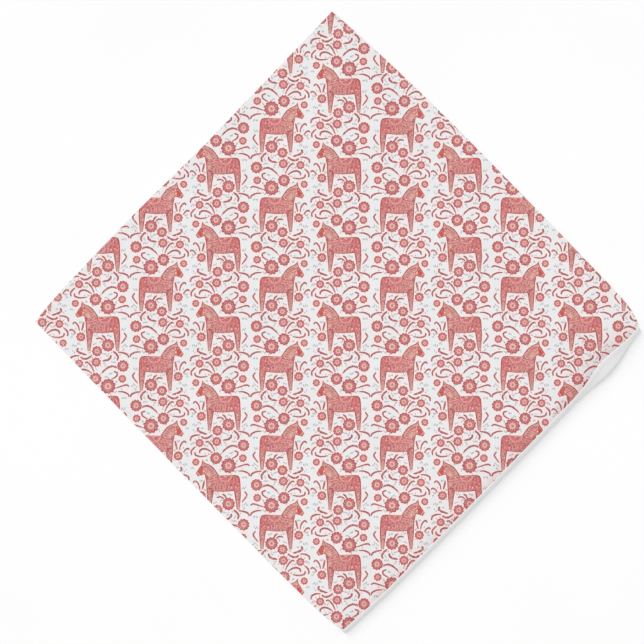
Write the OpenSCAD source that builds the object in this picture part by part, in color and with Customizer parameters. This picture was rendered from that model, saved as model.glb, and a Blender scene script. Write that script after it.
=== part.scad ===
// A square printed cloth bandana, hemmed on all four sides and laid out flat with its corners
// pointing up, left, down and right. The lower right side is turned up and leans back over the face.
// Millimetres. +Z is up, the printed face looks up, and +Y points to the top corner.
//
// The cloth is worked out on two grid directions: p runs along the upper left side, from the top
// corner to the left corner, and row runs across the cloth from the upper left side to the lower
// right one. Every sub-part takes its points from the same grid, so neighbours meet face to face.

/* [Cloth] */
// Half the distance from the left corner to the right corner
half_wide = 384; // [250:1:480]
// Half the distance from the top corner to the bottom corner
half_high = 394.3; // [250:0.1:480]
// Thickness of the woven cloth
cloth_t = 0.3; // [0.2:0.05:0.5]
// How far the top corner sits left of the middle
top_lean = 7.6; // [0:0.1:15]
// How far the bottom corner sits right of the middle
bottom_lean = 8.3; // [0:0.1:15]
// How far the left corner sits above the middle
left_rise = 0.6; // [0:0.1:15]
// How far the right corner sits below the middle
right_drop = 9.5; // [0:0.1:15]

/* [Sides] */
// How far the upper left side bows out
bow_upper_left = 4; // [0:0.5:8]
// How far the upper right side bows out
bow_upper_right = 12; // [0:0.5:14]
// How far the lower left side bows out
bow_lower_left = 5.5; // [0:0.5:8]
// How far the lower right side bows out
bow_lower_right = 6; // [0:0.5:8]

/* [Turned-up side] */
// Radius of the bend along the lower right side
curl_r = 3; // [2:0.5:5]
// Angle that the side turns through, where 90 stands upright
curl_turn = 126; // [95:1:150]
// Width of cloth beyond the bend, at the right corner
strip_right = 16; // [12:0.5:20]
// Width of cloth beyond the bend, at the bottom corner
strip_bottom = 13.5; // [12:0.5:20]
// Share of the bend and of the width beyond it that the right corner has
corner_share = 0.75; // [0.75:0.05:1]
// Extra width of the wide curl near the right corner
wide_strip = 15; // [0:0.5:18]
// Extra angle of the wide curl
wide_turn = 26; // [0:1:35]
// Extra radius of the wide curl
wide_r = 2; // [0:0.5:4]
// Place of the wide curl, as a share of the side from the right corner
wide_at = 0.12; // [0.08:0.01:0.3]

/* [Hem] */
// Width of the double-turned hem
hem_w = 6; // [5:0.5:8]
// Distance of the stitch row from the edge of the cloth
stitch_in = 4.8; // [3:0.1:4.8]
// Width of a stitch row
thread_w = 0.5; // [0.3:0.05:0.5]
// Height of the needle thread above the face
thread_h = 0.2; // [0.1:0.05:0.25]
// Depth of the bobbin thread in the underside of the hem
bobbin_h = 0.25; // [0.1:0.05:0.25]

/* [Ripples] */
// Height of the soft ripples that the cloth lies in
ripple_h = 2.2; // [0:0.1:4]
// Distance from the sides over which the ripples fade out
ripple_fade = 70; // [40:5:120]

/* [Hidden] */

print_colour = [0.86, 0.55, 0.54];
hem_colour = [0.93, 0.93, 0.92];
thread_colour = [0.96, 0.96, 0.95];

// Hem layers under the cloth, and the distance over which the cloth comes down from them
hem_t = 2 * cloth_t;
hem_ramp = 12;

// Corners of the laid-out cloth. The hems reach hem_t further out round the ends of the bend.
TOP = [-top_lean, half_high];
LEFT = [-half_wide, left_rise];
BOTTOM = [bottom_lean, hem_t - half_high];
RIGHT = [half_wide - hem_t, -right_drop];

// Rounding of each bow towards its two ends: a low power gives a long run, a high one a short run
long_run = 2;
mid_run = 4.5;
brisk_run = 9;
soft_run = 12;
short_run = 20;
quick_run = 34;

// Shares of the upper left side at which its bow starts, and over which it rises
late_start = 0.4;
late_rise = 0.3;

// Run of the wide curl on each side of its middle, as a share of the side, and how far it bulges out
wide_run = 0.065;
wide_bulge = 5;

// Share of the side over which the bend grows from the right corner
corner_run = 0.07;

// Distances from the edge of the lines that the hem and its stitch row need
hem_lines = [0, stitch_in - thread_w / 2, stitch_in - thread_w / 4,
    stitch_in + thread_w / 4, stitch_in + thread_w / 2, hem_w];
HEM_LAST = len(hem_lines) - 1;

// Soft ripples: the share of the height, the direction, the length and the shift of each wave
WAVES = [[0.55, 20, 170, 40], [0.3, -52, 118, 150], [0.35, 78, 240, 250]];

// Grid steps between the hems, and between the bend and the hem on the turned-up side. Crowding
// draws the grid lines towards the corners.
steps_along = 26;
steps_across = 24;
steps_bend = 10;
crowding = 0.6;

function lerp(a, b, t) = a + (b - a) * t;
function smooth(t) = let (c = max(0, min(1, t))) c * c * (3 - 2 * c);
function hump(t, at, wide) = exp(-pow((t - at) / wide, 2));
function bow(t, rise, fall) = (1 - pow(1 - t, rise)) * (1 - pow(t, fall));
function late_bow(t) = smooth((t - late_start) / late_rise) * (1 - pow(t, short_run));
function outward(a, b) = let (d = (b - a) / norm(b - a)) [-d[1], d[0]];
function reversed(list) = [for (i = [len(list) - 1 : -1 : 0]) list[i]];

side_along = (norm(LEFT - TOP) + norm(BOTTOM - RIGHT)) / 2;
side_across = (norm(BOTTOM - LEFT) + norm(RIGHT - TOP)) / 2;

// Level directions out of the four sides, from corners taken clockwise
OUT_UPPER_LEFT = outward(LEFT, TOP);
OUT_UPPER_RIGHT = outward(TOP, RIGHT);
OUT_LOWER_RIGHT = outward(RIGHT, BOTTOM);
OUT_LOWER_LEFT = outward(BOTTOM, LEFT);

// How the turned-up strip stands along the lower right side
function wide(p) = hump(p, wide_at, wide_run);
function turn(p) = curl_turn + wide_turn * wide(p);
function grow(p) = lerp(corner_share, 1, smooth(p / corner_run));
function bend_r(p) = curl_r * grow(p) + wide_r * wide(p);
function strip(p) = lerp(strip_right, strip_bottom, p) * grow(p) + wide_strip * wide(p);

// Line where the bend starts, out from the straight line between its corners
function bend_line(p) =
    bow_lower_right * bow(p, soft_run, brisk_run) + wide_bulge * wide(p) - bend_r(p);

// Place in the flat part, with q running from 0 at the upper left side to 1 at the bend
function flat_place(p, q) =
    lerp(lerp(TOP, LEFT, p), lerp(RIGHT, BOTTOM, p), q)
    + OUT_UPPER_LEFT * bow_upper_left * late_bow(p) * (1 - q)
    + OUT_UPPER_RIGHT * bow_upper_right * bow(q, mid_run, quick_run) * (1 - p)
    + OUT_LOWER_LEFT * bow_lower_left * bow(q, long_run, short_run) * p
    + OUT_LOWER_RIGHT * bend_line(p) * q;

// Height of the cloth's back: it steps up on the hems, and lies in soft ripples between them
function off_hem(d) = 1 - smooth((d - hem_w) / hem_ramp);
function lift(p, q) = hem_t * (1 - (1 - off_hem(p * side_along)) * (1 - off_hem((1 - p) * side_along))
    * (1 - off_hem(q * side_across)));
function wave(place, w) =
    let (way = place[0] * cos(w[1]) + place[1] * sin(w[1])) w[0] * (1 - cos(360 * way / w[2] + w[3])) / 2;
function ripple(p, q) = let (
        place = flat_place(p, q),
        edge = min(p * side_along, (1 - p) * side_along, q * side_across, (1 - q) * side_across))
    ripple_h * smooth((edge - hem_w - hem_ramp) / ripple_fade)
    * (wave(place, WAVES[0]) + wave(place, WAVES[1]) + wave(place, WAVES[2]));

// Point of the cloth: row is [q, share of the bend strip, distance in from the free edge], and h is
// the distance from the cloth's back, upwards through its face
function point(p, row, h) = let (
        q = row[0],
        base = flat_place(p, q),
        z = lift(p, q) + ripple(p, q),
        r = bend_r(p),
        along = row[1] >= 0 ? (strip(p) - hem_w) * row[1] : strip(p) - row[2],
        angle = min(turn(p), along / r * 180 / PI),
        rest = along - angle * PI / 180 * r,
        out = r * sin(angle) + rest * cos(angle) - h * sin(angle),
        up = r * (1 - cos(angle)) + rest * sin(angle) + h * cos(angle))
    [base[0] + OUT_LOWER_RIGHT[0] * out, base[1] + OUT_LOWER_RIGHT[1] * out, z + up];

// Grid lines along the cloth, closer together near the corners
function closer(t) = t - crowding * sin(360 * t) / (2 * PI);
hem_p = [for (d = hem_lines) d / side_along];
P_LINES = concat(
    hem_p,
    [for (i = [1 : steps_along - 1])
        lerp(hem_w / side_along, 1 - hem_w / side_along, closer(i / steps_along))],
    [for (d = reversed(hem_p)) 1 - d]);

// Grid rows across the cloth: the upper left hem, the flat part, the bend, and the lower right hem
ROWS = concat(
    [for (d = hem_lines) [d / side_across, 0, 0]],
    [for (i = [1 : steps_across]) [lerp(hem_w / side_across, 1, i / steps_across), 0, 0]],
    [for (i = [1 : steps_bend]) [1, i / steps_bend, 0]],
    [for (i = [HEM_LAST - 1 : -1 : 0]) [1, -1, hem_lines[i]]]);
P_LAST = len(P_LINES) - 1;
ROW_LAST = len(ROWS) - 1;

// Closed solid between two grids of points, low and high, with the same number of lines and rows
module between(low, high) {
    lines = len(low);
    rows = len(low[0]);
    count = lines * rows;
    function at(i, j) = i * rows + j;
    function quad(a, b, c, d) = [[a, b, c], [a, c, d]];
    floor_faces = [for (i = [0 : lines - 2], j = [0 : rows - 2])
        each quad(at(i, j), at(i + 1, j), at(i + 1, j + 1), at(i, j + 1))];
    face_faces = [for (f = floor_faces) [f[2] + count, f[1] + count, f[0] + count]];
    start_wall = [for (j = [0 : rows - 2])
        each quad(at(0, j), at(0, j + 1), at(0, j + 1) + count, at(0, j) + count)];
    end_wall = [for (j = [0 : rows - 2])
        each quad(at(lines - 1, j + 1), at(lines - 1, j),
            at(lines - 1, j) + count, at(lines - 1, j + 1) + count)];
    first_wall = [for (i = [0 : lines - 2])
        each quad(at(i + 1, 0), at(i, 0), at(i, 0) + count, at(i + 1, 0) + count)];
    last_wall = [for (i = [0 : lines - 2])
        each quad(at(i, rows - 1), at(i + 1, rows - 1),
            at(i + 1, rows - 1) + count, at(i, rows - 1) + count)];
    polyhedron(
        points = concat([for (line = low) each line], [for (line = high) each line]),
        faces = concat(floor_faces, face_faces, start_wall, end_wall, first_wall, last_wall),
        convexity = 6);
}

// Heights of a hem's underside on its lines: the bobbin thread lies in a shallow groove
groove = [0, 0, bobbin_h, bobbin_h, 0, 0];

// Solid on a block of the grid: the lines from p_from to p_to and the rows from row_from to row_to,
// between the heights that low_h and high_h give for each line or row across the strip
module strip_along(p_from, p_to, rows, low_h, high_h) {
    between(
        [for (i = [p_from : p_to])
            [for (j = [0 : len(rows) - 1]) point(P_LINES[i], ROWS[rows[j]], low_h[j])]],
        [for (i = [p_from : p_to])
            [for (j = [0 : len(rows) - 1]) point(P_LINES[i], ROWS[rows[j]], high_h[j])]]);
}

module strip_across(row_from, row_to, lines, low_h, high_h) {
    between(
        [for (i = [0 : len(lines) - 1])
            [for (j = [row_from : row_to]) point(P_LINES[lines[i]], ROWS[j], low_h[i])]],
        [for (i = [0 : len(lines) - 1])
            [for (j = [row_from : row_to]) point(P_LINES[lines[i]], ROWS[j], high_h[i])]]);
}

// Grid lines and rows under each hem, counted from the outer edge inwards and then put in grid order
first_lines = [for (i = [0 : HEM_LAST]) i];
last_lines = [for (i = [HEM_LAST : -1 : 0]) P_LAST - i];
last_rows = [for (i = [HEM_LAST : -1 : 0]) ROW_LAST - i];
hem_floor = [for (g = groove) g - hem_t];
hem_roof = [for (g = groove) 0];

// The stitch row is on the four middle lines of a hem, and the bobbin thread's floor on the outer two
function middle(list) = [for (i = [1 : 4]) list[i]];
thread_side_h = thread_h / 3;
needle_floor = [for (i = [1 : 4]) cloth_t];
needle_roof = [cloth_t + thread_side_h, cloth_t + thread_h, cloth_t + thread_h, cloth_t + thread_side_h];

// A stitch row in the groove under a hem, with its wide side down
module bobbin_along(p_from, p_to, rows) {
    between(
        [for (i = [p_from : p_to]) [for (j = [1, 4]) point(P_LINES[i], ROWS[rows[j]], -hem_t)]],
        [for (i = [p_from : p_to]) [for (j = [2, 3]) point(P_LINES[i], ROWS[rows[j]], bobbin_h - hem_t)]]);
}

module bobbin_across(row_from, row_to, lines) {
    between(
        [for (i = [1, 4])
            [for (j = [row_from : row_to]) point(P_LINES[lines[i]], ROWS[j], -hem_t)]],
        [for (i = [2, 3])
            [for (j = [row_from : row_to]) point(P_LINES[lines[i]], ROWS[j], bobbin_h - hem_t)]]);
}

module cloth_panel() {
    color(print_colour)
        between(
            [for (p = P_LINES) [for (row = ROWS) point(p, row, 0)]],
            [for (p = P_LINES) [for (row = ROWS) point(p, row, cloth_t)]]);
}

module hem_upper_left() {
    color(hem_colour) strip_along(0, P_LAST, first_lines, hem_floor, hem_roof);
}

module hem_lower_right() {
    color(hem_colour) strip_along(0, P_LAST, last_rows, hem_floor, hem_roof);
}

module hem_upper_right() {
    color(hem_colour) strip_across(HEM_LAST, ROW_LAST - HEM_LAST, first_lines, hem_floor, hem_roof);
}

module hem_lower_left() {
    color(hem_colour) strip_across(HEM_LAST, ROW_LAST - HEM_LAST, last_lines, hem_floor, hem_roof);
}

module needle_thread_upper_left() {
    color(thread_colour) strip_along(1, P_LAST - 1, middle(first_lines), needle_floor, needle_roof);
}

module needle_thread_lower_right() {
    color(thread_colour) strip_along(1, P_LAST - 1, middle(last_rows), needle_floor, needle_roof);
}

module needle_thread_upper_right() {
    color(thread_colour) strip_across(4, ROW_LAST - 4, middle(first_lines), needle_floor, needle_roof);
}

module needle_thread_lower_left() {
    color(thread_colour) strip_across(4, ROW_LAST - 4, middle(last_lines), needle_floor, needle_roof);
}

module bobbin_thread_upper_left() {
    color(thread_colour) bobbin_along(0, P_LAST, first_lines);
}

module bobbin_thread_lower_right() {
    color(thread_colour) bobbin_along(0, P_LAST, last_rows);
}

module bobbin_thread_upper_right() {
    color(thread_colour) bobbin_across(HEM_LAST, ROW_LAST - HEM_LAST, first_lines);
}

module bobbin_thread_lower_left() {
    color(thread_colour) bobbin_across(HEM_LAST, ROW_LAST - HEM_LAST, last_lines);
}

cloth_panel();
hem_upper_left();
hem_upper_right();
hem_lower_left();
hem_lower_right();
needle_thread_upper_left();
needle_thread_upper_right();
needle_thread_lower_left();
needle_thread_lower_right();
bobbin_thread_upper_left();
bobbin_thread_upper_right();
bobbin_thread_lower_left();
bobbin_thread_lower_right();
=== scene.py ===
"""A square printed cotton bandana, laid flat with its corners up, left, down and right.

The lower right side is turned up and leans back over the face. Lengths are millimetres, as in the
CAD source, and go to metres in build(). A place on the cloth is (p, s): p runs along the upper left
side from the top corner, and s across the cloth from that side to the free edge of the lower right
side. Heights h are measured from the cloth's back, through its face.
"""
import math
import random

import bpy
import numpy as np
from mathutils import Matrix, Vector
from mathutils.geometry import delaunay_2d_cdt


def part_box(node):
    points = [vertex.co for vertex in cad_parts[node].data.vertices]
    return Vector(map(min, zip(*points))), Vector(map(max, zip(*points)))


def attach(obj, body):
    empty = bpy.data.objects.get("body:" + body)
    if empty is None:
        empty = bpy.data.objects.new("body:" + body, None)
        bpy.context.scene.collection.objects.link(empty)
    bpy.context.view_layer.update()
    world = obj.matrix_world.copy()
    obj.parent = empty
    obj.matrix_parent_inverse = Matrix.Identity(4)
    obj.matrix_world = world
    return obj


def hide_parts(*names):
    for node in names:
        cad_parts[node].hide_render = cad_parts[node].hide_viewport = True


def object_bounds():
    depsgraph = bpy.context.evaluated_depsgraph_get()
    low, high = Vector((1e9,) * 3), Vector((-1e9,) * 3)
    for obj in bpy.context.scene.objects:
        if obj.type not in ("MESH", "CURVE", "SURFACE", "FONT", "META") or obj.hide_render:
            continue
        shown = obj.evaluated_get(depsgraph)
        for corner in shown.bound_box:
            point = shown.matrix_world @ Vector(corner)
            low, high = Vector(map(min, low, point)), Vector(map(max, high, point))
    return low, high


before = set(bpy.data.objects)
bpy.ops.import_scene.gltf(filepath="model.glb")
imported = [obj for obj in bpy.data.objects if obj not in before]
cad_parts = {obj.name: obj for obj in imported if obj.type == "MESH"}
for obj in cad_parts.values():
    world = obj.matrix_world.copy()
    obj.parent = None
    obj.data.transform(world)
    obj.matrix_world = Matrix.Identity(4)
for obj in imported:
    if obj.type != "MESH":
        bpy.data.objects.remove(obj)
frame_low, frame_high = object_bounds()

MM = 0.001
panel_low, panel_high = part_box("cloth_panel")

# --------------------------------------- the lie of the cloth, as in CAD
HALF_WIDE = -panel_low[0] / MM
HALF_HIGH = panel_high[1] / MM
CLOTH_T = 0.3
TOP_LEAN, BOTTOM_LEAN, LEFT_RISE, RIGHT_DROP = 7.6, 8.3, 0.6, 9.5
BOW_UPPER_LEFT, BOW_UPPER_RIGHT, BOW_LOWER_LEFT, BOW_LOWER_RIGHT = 4, 12, 5.5, 6
LONG_RUN, MID_RUN, BRISK_RUN, SOFT_RUN, SHORT_RUN, QUICK_RUN = 2, 4.5, 9, 12, 20, 34
CURL_R, CURL_TURN, STRIP_RIGHT, STRIP_BOTTOM = 3, 126, 16, 13.5
CORNER_SHARE, CORNER_RUN = 0.75, 0.07
WIDE_STRIP, WIDE_TURN, WIDE_R, WIDE_AT, WIDE_RUN, WIDE_BULGE = 15, 26, 2, 0.12, 0.065, 5
HEM_W, HEM_T, HEM_RAMP, STITCH_IN = 6, 0.6, 12, 4.8
THREAD_H = 0.2
RIPPLE_H, RIPPLE_FADE = 2.2, 70
# Share of the height, direction, length and shift of each ripple
RIPPLES = ((0.55, 20, 170, 40), (0.30, -52, 118, 150), (0.35, 78, 240, 250))

TOP = np.array([-TOP_LEAN, HALF_HIGH])
LEFT = np.array([-HALF_WIDE, LEFT_RISE])
BOTTOM = np.array([BOTTOM_LEAN, HEM_T - HALF_HIGH])
RIGHT = np.array([HALF_WIDE - HEM_T, -RIGHT_DROP])


def outward(a, b):
    d = (b - a) / np.linalg.norm(b - a)
    return np.array([-d[1], d[0]])


OUT_UPPER_LEFT, OUT_UPPER_RIGHT = outward(LEFT, TOP), outward(TOP, RIGHT)
OUT_LOWER_RIGHT, OUT_LOWER_LEFT = outward(RIGHT, BOTTOM), outward(BOTTOM, LEFT)
ALONG = (np.linalg.norm(LEFT - TOP) + np.linalg.norm(BOTTOM - RIGHT)) / 2
ACROSS = (np.linalg.norm(BOTTOM - LEFT) + np.linalg.norm(RIGHT - TOP)) / 2


def smooth(t):
    c = np.clip(t, 0, 1)
    return c * c * (3 - 2 * c)


def bow(t, rise, fall):
    t = np.clip(t, 0, 1)
    return (1 - (1 - t) ** rise) * (1 - t**fall)


def late_bow(t):
    return smooth((t - 0.4) / 0.3) * (1 - np.clip(t, 0, 1) ** SHORT_RUN)


def wide(p):
    return np.exp(-(((p - WIDE_AT) / WIDE_RUN) ** 2))


def turn(p):
    return np.radians(CURL_TURN + WIDE_TURN * wide(p))


def grow(p):
    return CORNER_SHARE + (1 - CORNER_SHARE) * smooth(p / CORNER_RUN)


def bend_r(p):
    return CURL_R * grow(p) + WIDE_R * wide(p)


def strip(p):
    return (STRIP_RIGHT + (STRIP_BOTTOM - STRIP_RIGHT) * p) * grow(p) + WIDE_STRIP * wide(p)


def bend_line(p):
    return BOW_LOWER_RIGHT * bow(p, SOFT_RUN, BRISK_RUN) + WIDE_BULGE * wide(p) - bend_r(p)


def flat_place(p, q):
    """Level place of (p, q), both 0 to 1 between the upper left side and the bend."""
    across_p, across_q = p[..., None], q[..., None]
    start = TOP * (1 - across_p) + LEFT * across_p
    end = RIGHT * (1 - across_p) + BOTTOM * across_p
    return (
        start * (1 - across_q) + end * across_q
        + OUT_UPPER_LEFT * (BOW_UPPER_LEFT * late_bow(p) * (1 - q))[..., None]
        + OUT_UPPER_RIGHT * (BOW_UPPER_RIGHT * bow(q, MID_RUN, QUICK_RUN) * (1 - p))[..., None]
        + OUT_LOWER_LEFT * (BOW_LOWER_LEFT * bow(q, LONG_RUN, SHORT_RUN) * p)[..., None]
        + OUT_LOWER_RIGHT * (bend_line(p) * q)[..., None]
    )


def off_hem(d):
    return 1 - smooth((d - HEM_W) / HEM_RAMP)


def level(p, q, place):
    """Height of the back above the table: over the hems, and in soft ripples between them."""
    ends = (p * ALONG, (1 - p) * ALONG, q * ACROSS, (1 - q) * ACROSS)
    flat = (1 - off_hem(ends[0])) * (1 - off_hem(ends[1])) * (1 - off_hem(ends[2]))
    edge = np.minimum.reduce(ends)
    height = 0
    for share, toward, length, shift in RIPPLES:
        angle = math.radians(toward)
        way = place[..., 0] * math.cos(angle) + place[..., 1] * math.sin(angle)
        height = height + share * (0.5 - 0.5 * np.cos(2 * math.pi * way / length + math.radians(shift)))
    return HEM_T * (1 - flat) + RIPPLE_H * smooth((edge - HEM_W - HEM_RAMP) / RIPPLE_FADE) * height


def point(p_mm, s_mm, h):
    """Points of the cloth, in millimetres."""
    p_mm, s_mm, h = np.broadcast_arrays(*(np.asarray(v, float) for v in (p_mm, s_mm, h)))
    p, q = p_mm / ALONG, np.minimum(s_mm / ACROSS, 1)
    base = flat_place(p, q)
    z = level(p, q, base)
    r, along = bend_r(p), np.maximum(s_mm - ACROSS, 0)
    angle = np.minimum(turn(p), along / r)
    rest = along - angle * r
    out = r * np.sin(angle) + rest * np.cos(angle) - h * np.sin(angle)
    up = r * (1 - np.cos(angle)) + rest * np.sin(angle) + h * np.cos(angle)
    xy = base + OUT_LOWER_RIGHT * out[..., None]
    return np.concatenate([xy, (z + up)[..., None]], axis=-1)


def width_at(p_mm):
    """Whole width of the cloth across, turned-up side included, at a place along it."""
    return ACROSS + strip(np.asarray(p_mm, float) / ALONG)


def cloth_place(xy):
    """(p, s) of places in the plane of the print, where the turned-up side is rolled out flat."""
    p, q = np.full(len(xy), 0.5), np.full(len(xy), 0.5)
    rounds, step, lowest, highest = 12, 1e-4, -0.4, 1.4
    for _ in range(rounds):
        here = flat_place(p, q)
        by_p = (flat_place(p + step, q) - here) / step
        by_q = (flat_place(p, q + step) - here) / step
        miss = xy - here
        det = by_p[:, 0] * by_q[:, 1] - by_p[:, 1] * by_q[:, 0]
        p = np.clip(p + (miss[:, 0] * by_q[:, 1] - miss[:, 1] * by_q[:, 0]) / det, lowest, highest)
        q = np.clip(q + (by_p[:, 0] * miss[:, 1] - by_p[:, 1] * miss[:, 0]) / det, lowest, highest)
    # Places past the bend are reached straight out from the bend's line
    past, at_bend = q > 1, np.ones_like(p)
    tangent = np.array([OUT_LOWER_RIGHT[1], -OUT_LOWER_RIGHT[0]])
    for _ in range(rounds):
        here = flat_place(p, at_bend)
        by_p = (flat_place(p + step, at_bend) - here) / step
        nearer = np.clip(p + (xy - here) @ tangent / (by_p @ tangent), lowest, highest)
        p = np.where(past, nearer, p)
    along = (xy - flat_place(p, at_bend)) @ OUT_LOWER_RIGHT
    return p * ALONG, np.where(past, ACROSS + along, q * ACROSS)


# ----------------------------------------------------- drawing the print
def curve(points, steps=2):
    """Catmull-Rom curve through the points, with this many steps between each pair."""
    pts = [np.array(v, float) for v in points]
    pts = [pts[0] * 2 - pts[1], *pts, pts[-1] * 2 - pts[-2]]
    out = []
    for a, b, c, d in zip(pts, pts[1:], pts[2:], pts[3:]):
        square, cube = 2 * a - 5 * b + 4 * c - d, 3 * b - a - 3 * c + d
        for k in range(steps):
            t = k / steps
            out.append(tuple(0.5 * (2 * b + (c - a) * t + square * t * t + cube * t**3)))
    return out + [tuple(pts[-2])]


def grown(outline, by):
    """The closed outline moved outwards by a distance, or inwards for a negative one."""
    sharpest = 0.55  # keeps the tip of a sharp corner from running far out
    pts = np.array(outline, float)
    before, after = np.roll(pts, 1, 0), np.roll(pts, -1, 0)

    def side(a, b):
        d = (b - a) / np.linalg.norm(b - a, axis=1)[:, None]
        return np.stack([d[:, 1], -d[:, 0]], 1)

    n1, n2 = side(before, pts), side(pts, after)
    if area_of(outline) < 0:
        n1, n2 = -n1, -n2
    both = n1 + n2
    size = np.maximum((both**2).sum(1) / 2, sharpest)
    return [tuple(v) for v in pts + both / size[:, None] * by]


def area_of(outline):
    pts = np.array(outline, float)
    nxt = np.roll(pts, -1, 0)
    return float((pts[:, 0] * nxt[:, 1] - pts[:, 1] * nxt[:, 0]).sum() / 2)


def stroke(points, width, steps=1, fat=0.5, ends=(0.3, 0.3), teeth=0):
    """Outline of a brush stroke along the points.

    Its full width is at the share fat of its length, and its two ends have these shares of that width.
    """
    line = np.array(curve(points, steps), float)
    along = np.gradient(line, axis=0)
    along /= np.linalg.norm(along, axis=1)[:, None]
    side = np.stack([-along[:, 1], along[:, 0]], 1)
    t = np.linspace(0, 1, len(line))
    rise = np.sin(np.clip(t / fat, 0, 1) * math.pi / 2)
    fall = np.sin(np.clip((1 - t) / (1 - fat), 0, 1) * math.pi / 2)
    half = width / 2 * np.where(t < fat, ends[0] + (1 - ends[0]) * rise, ends[1] + (1 - ends[1]) * fall)
    ragged = np.where(np.arange(len(line)) % 2 == 1, teeth, 0.0)
    left = line + side * (half + ragged)[:, None]
    right = line - side * half[:, None]
    nose = line[-1] + along[-1] * half[-1]
    tail = line[0] - along[0] * half[0]
    return [tuple(v) for v in [tail, *right, nose, *left[::-1]]]


def spot(x, y, length, width, angle):
    """A small pointed leaf of four points."""
    c, s = math.cos(angle), math.sin(angle)
    return [(x - c * length / 2, y - s * length / 2), (x + s * width / 2, y - c * width / 2),
            (x + c * length / 2, y + s * length / 2), (x - s * width / 2, y + c * width / 2)]


def disc(x, y, r, n, turned=0.0):
    angles = [turned + 2 * math.pi * k / n for k in range(n)]
    return [(x + r * math.cos(a), y + r * math.sin(a)) for a in angles]


# Colours as they show under the studio light, red, green, blue of 255, and how much each is mottled
GROUND = (235, 237, 239, 0.10)
HALO = (253, 231, 226, 0.10)
RING = (168, 95, 102, 0.45)
ROSE = (182, 101, 105, 0.5)
CORAL = (212, 131, 130, 0.8)
PETAL = (210, 122, 125, 0.5)
PINK = (232, 157, 153, 0.25)
CREAM = (244, 192, 184, 0.2)
OLIVE = (216, 170, 155, 0.5)
BLUSH = (222, 148, 142, 0.4)
HEART = (178, 130, 122, 0.4)
FACE = (198, 93, 85, 0.6)
PATCH = (203, 100, 93, 0.6)
LEAF = (166, 106, 115, 0.7)
SPRIG_COLOURS = ((158, 160, 150, 0.2), (186, 148, 156, 0.2), (168, 158, 163, 0.2))


def rim(x, y):
    """Colour of the horse's outline, which pales under the belly and towards the hooves."""
    dark, pale = np.array([156, 76, 80]), np.array([194, 154, 151])
    under = smooth((4 - y) / 6) * smooth((13 - np.abs(x)) / 2)
    colour = dark + (pale - dark) * np.maximum(smooth((-12 - y) / 10), 0.85 * under)[:, None]
    return np.concatenate([colour, np.full((len(x), 1), 0.4)], 1)


def coat(x, y):
    """Colour of the horse by place: redder on the rump, greener on the neck, paler down the legs."""
    rump, body, neck = np.array([209, 119, 118]), np.array([209, 139, 135]), np.array([219, 164, 155])
    leg, hoof = np.array([206, 143, 139]), np.array([198, 162, 157])
    colour = body + (rump - body) * smooth((-6 - x) / 7)[:, None]
    colour = colour + (neck - colour) * smooth((y - 16) / 4)[:, None] * smooth((x - 6) / 4)[:, None]
    colour = colour + (leg - colour) * smooth((2 - y) / 3)[:, None]
    colour = colour + (hoof - colour) * smooth((-9 - y) / 12)[:, None]
    return np.concatenate([colour, np.full((len(x), 1), 1.0)], 1)


def horse_outline():
    """Outline of the horse, which faces right: rump, back, neck, ear, nose, chest, foreleg and hind leg."""
    return (
        curve([(-21.7, 11.4), (-21, 16.8), (-18.7, 20.2), (-15, 20.8)])
        + curve([(5.4, 20.2), (7.6, 23.8), (13, 31), (18.5, 34.4), (23.2, 36.4)])
        + [(26.2, 40.3), (27.2, 34)]
        + [(30.6, 29.2), (34.3, 23.4), (31.8, 19.7)]
        + curve([(29.8, 20.4), (26.4, 21.4), (23.2, 22.2), (22.4, 18.4), (21.2, 12.7)])
        + [(20.6, 0), (18.9, -22.9), (15.7, -22.9), (14.6, -15.4), (13.2, -6.3)]
        + curve([(11.8, 0.6), (-0.6, -0.2), (-14, 1.2)])
        + [(-15.2, -6.1), (-17.4, -22.7), (-21, -22.7), (-22.3, -3.8)]
    )


def head_shapes():
    """The face, the nose behind its band, the ear, the cheek and the eye."""
    face_outline = [(24.6, 32.6), (27, 32.4), (29.6, 28.8), (32.2, 24.6),
                    (29.8, 21.8), (26.4, 22.4), (25.8, 25.6), (25, 29)]
    return [
        (face_outline, FACE),
        (spot(32.6, 21.8, 3.2, 2.2, 0.9), ROSE),
        (stroke([(29.9, 20.9), (31.1, 22.7), (32.8, 24.6)], 1.5, ends=(0.9, 0.9)), PINK),
        (spot(25.6, 36.4, 4.4, 0.8, 1.35), PETAL),
        (disc(24.5, 25.9, 2.3, 7), PATCH),
        (disc(24.5, 25.9, 1.4, 6), CREAM),
        (disc(19.9, 26.2, 2.0, 6), PINK),
        (disc(19.9, 26.2, 0.8, 4), ROSE),
    ]


def neck_shapes():
    """A green patch, and the mane's locks from its foot up to the ear."""
    shapes = [(disc(15.4, 22.6, 3.8, 7), OLIVE), (spot(20.4, 18.2, 6, 3, 1.4), ROSE)]
    locks = 17
    for k in range(locks):
        t = k / (locks - 1)
        x, y = 6.4 + 15.4 * t, 18.6 + 15.2 * math.sin(t * math.pi / 2)
        reach, lean = 7.6 - 3.4 * t, math.radians(-14 - 44 * t)
        middle = (x + reach / 2 * math.cos(lean), y + reach / 2 * math.sin(lean))
        width, paint = (1.0, BLUSH) if k % 2 else (1.2, RING)
        shapes.append((spot(*middle, reach, width, lean), paint))
    return shapes + [(disc(17.7, 20.2, 1.1, 5), CREAM), (disc(11, 18, 1, 5), CREAM)]


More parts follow.
